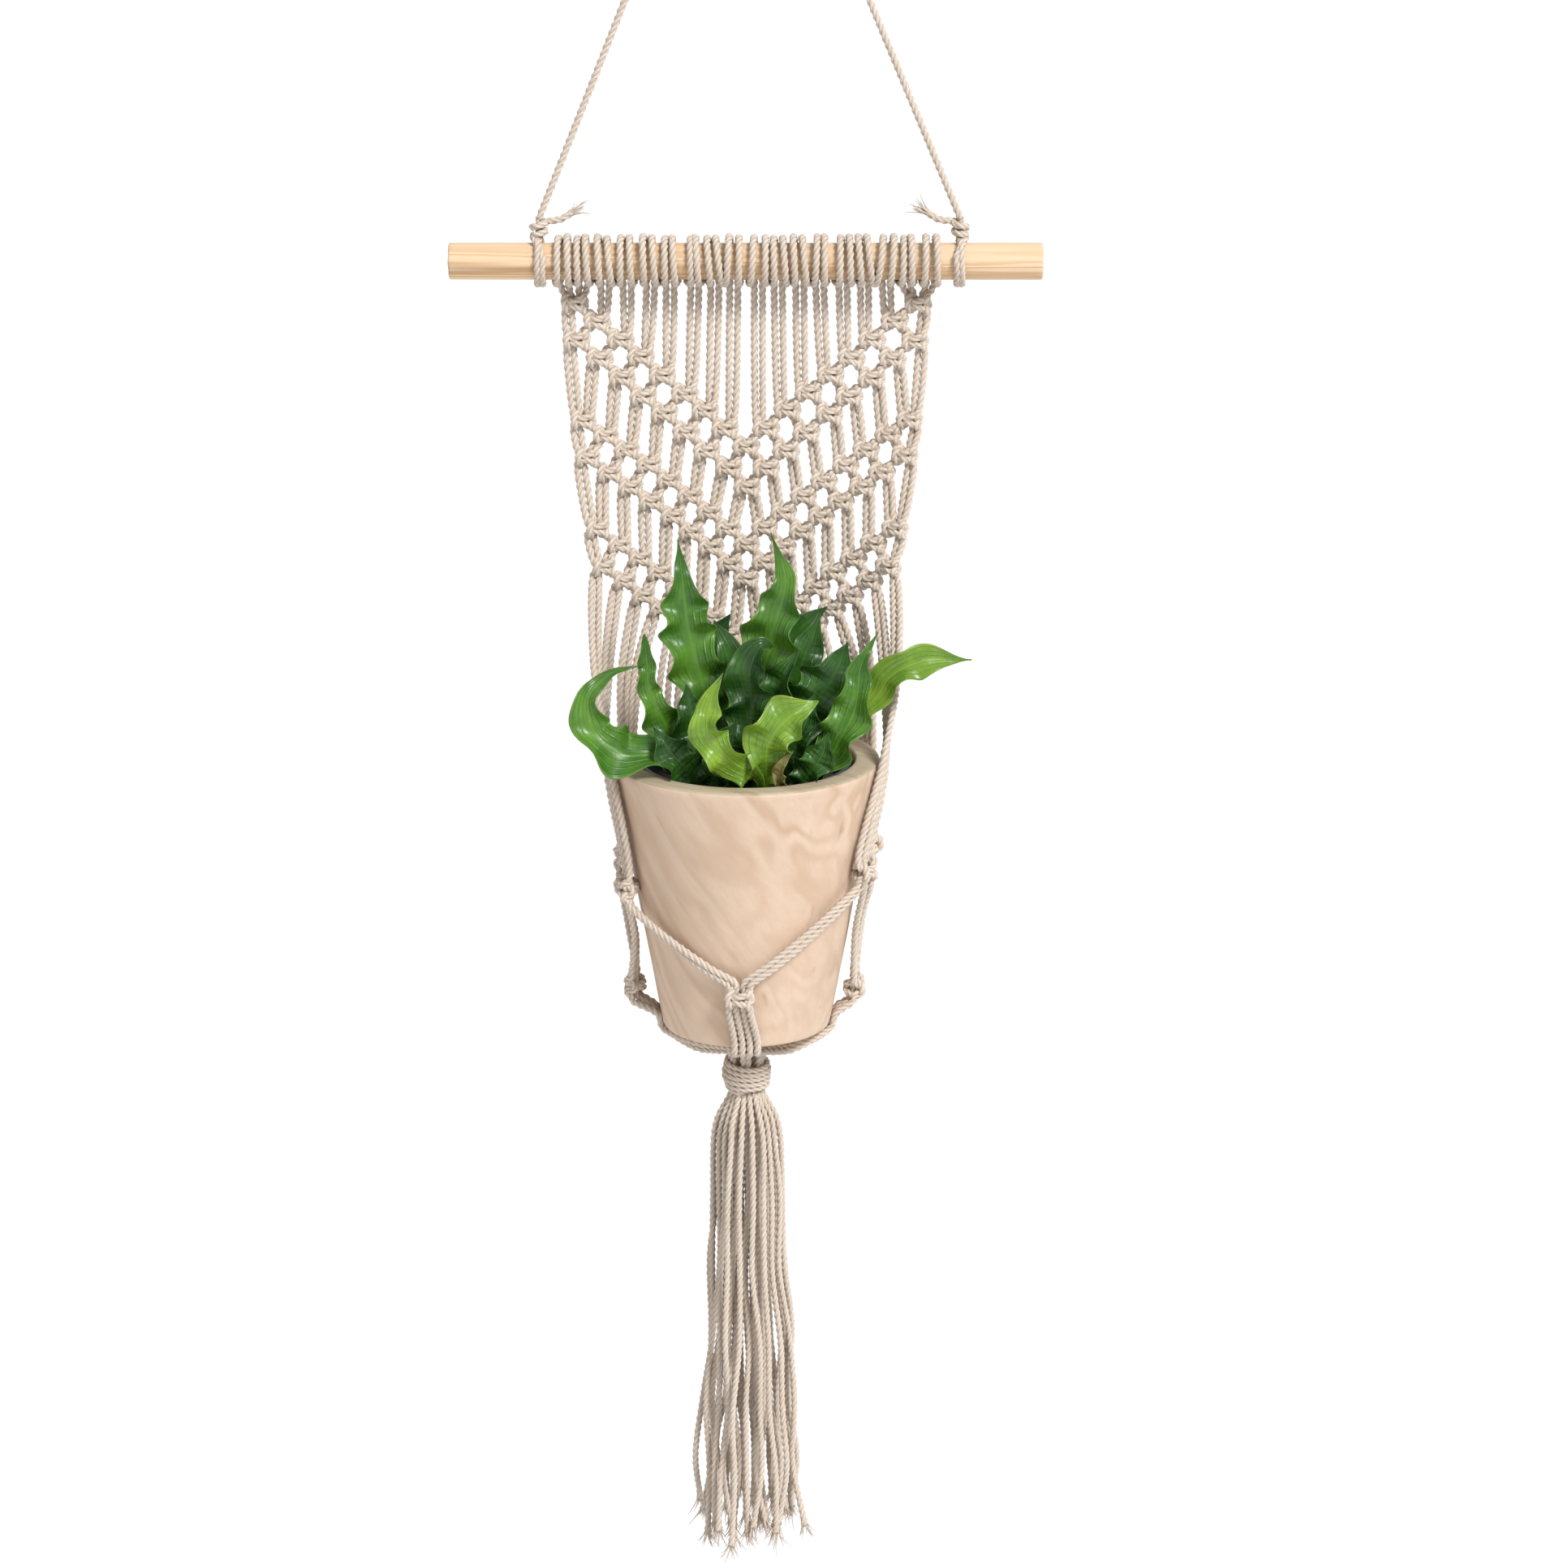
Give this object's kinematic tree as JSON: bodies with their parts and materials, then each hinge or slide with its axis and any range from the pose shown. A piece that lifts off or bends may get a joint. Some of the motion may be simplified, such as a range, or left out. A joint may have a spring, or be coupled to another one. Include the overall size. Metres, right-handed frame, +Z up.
{
  "type": "hanging macrame planter",
  "caption": "Knotted cotton plant hanger on a wooden dowel, with a chevron panel, a cradle holding a wooden pot with a potted fern, and a long tassel.",
  "frame": {"origin": "where the axis of the wall hook's screw meets the wall", "axes": "+Z up, +Y into the wall along the screw, +X to the right seen from the front"},
  "size_m": [0.3048, 0.1695, 0.966],
  "materials": {
    "cotton_cord": "matt twisted cotton",
    "pine_dowel": "bare sanded pine",
    "pine_pot": "bare turned pine",
    "hook_steel": "bright plated",
    "black_plastic": "matt moulded",
    "soil": "rough crumbs",
    "light_leaf": "glossy leaf",
    "dark_leaf": "glossy leaf",
    "withered_leaf": "dry leaf"
  },
  "bodies": {
    "hook": {"wall_hook": "hook_steel"},
    "hanger": {"hanging_cord": "cotton_cord", "left_hitch": "cotton_cord", "right_hitch": "cotton_cord"},
    "panel": {"back_base_cords": "cotton_cord", "back_drop_cords": "cotton_cord", "back_knot": "cotton_cord", "back_left_knot": "cotton_cord", "back_left_strap": "cotton_cord", "back_left_to_back_cords": "cotton_cord", "back_left_to_left_cords": "cotton_cord", "back_right_knot": "cotton_cord", "back_right_strap": "cotton_cord", "back_right_to_back_cords": "cotton_cord", "back_right_to_right_cords": "cotton_cord", "cord_neck": "cotton_cord", "dowel": "pine_dowel", "first_chevron_lower_knots": "cotton_cord", "first_chevron_upper_knots": "cotton_cord", "front_base_cords": "cotton_cord", "front_knot": "cotton_cord", "front_left_knot": "cotton_cord", "front_left_strap": "cotton_cord", "front_left_to_front_cords": "cotton_cord", "front_left_to_left_cords": "cotton_cord", "front_right_knot": "cotton_cord", "front_right_strap": "cotton_cord", "front_right_to_front_cords": "cotton_cord", "front_right_to_right_cords": "cotton_cord", "larks_head_knots": "cotton_cord", "left_base_cords": "cotton_cord", "left_knot": "cotton_cord", "lower_drop_cords": "cotton_cord", "middle_drop_cords": "cotton_cord", "right_base_cords": "cotton_cord", "right_knot": "cotton_cord", "second_chevron_lower_knots": "cotton_cord", "second_chevron_upper_knots": "cotton_cord", "third_chevron_lower_knots": "cotton_cord", "third_chevron_upper_knots": "cotton_cord", "top_drop_cords": "cotton_cord"},
    "pot": {"wooden_pot": "pine_pot"},
    "plant": {"nursery_pot": "black_plastic", "potting_soil": "soil", "curled_leaves": "light_leaf", "far_left_leaf": "dark_leaf", "far_right_leaf": "dark_leaf", "front_centre_leaf": "light_leaf", "front_left_leaf": "light_leaf", "left_rear_leaf": "dark_leaf", "left_spoon_leaf": "dark_leaf", "right_rear_leaf": "dark_leaf", "right_round_leaf": "dark_leaf", "right_tall_leaf": "dark_leaf", "tall_centre_leaf": "light_leaf", "upper_left_leaf": "dark_leaf", "withered_leaf": "withered_leaf"},
    "wrap": {"gathering_wrap": "cotton_cord"},
    "tassel": {"inner_tassel_strands": "cotton_cord", "outer_tassel_strands": "cotton_cord"}
  },
  "joints": [
    {"name": "hook_swing", "type": "hinge", "parent": "hook", "child": "hanger", "pos_m": [0, -0.018, 0], "axis": [0, 1, 0], "range_deg": [-15, 15]},
    {"name": "dowel_roll", "type": "hinge", "parent": "hanger", "child": "panel", "pos_m": [0, -0.018, -0.264], "axis": [-1, 0, 0], "range_deg": [0, 12]},
    {"name": "pot_lift", "type": "slide", "parent": "panel", "child": "pot", "axis": [0, 0, 1], "range_m": [0, 0.12]},
    {"name": "plant_lift", "type": "slide", "parent": "pot", "child": "plant", "axis": [0, 0, 1], "range_m": [0, 0.11]},
    {"name": "tassel_nod", "type": "hinge", "parent": "panel", "child": "wrap", "pos_m": [0, -0.0825, -0.6735], "axis": [1, 0, 0], "range_deg": [-12, 12]},
    {"name": "tassel_sway", "type": "hinge", "parent": "wrap", "child": "tassel", "pos_m": [0, -0.0825, -0.693], "axis": [0, 1, 0], "range_deg": [-15, 15]}
  ]
}
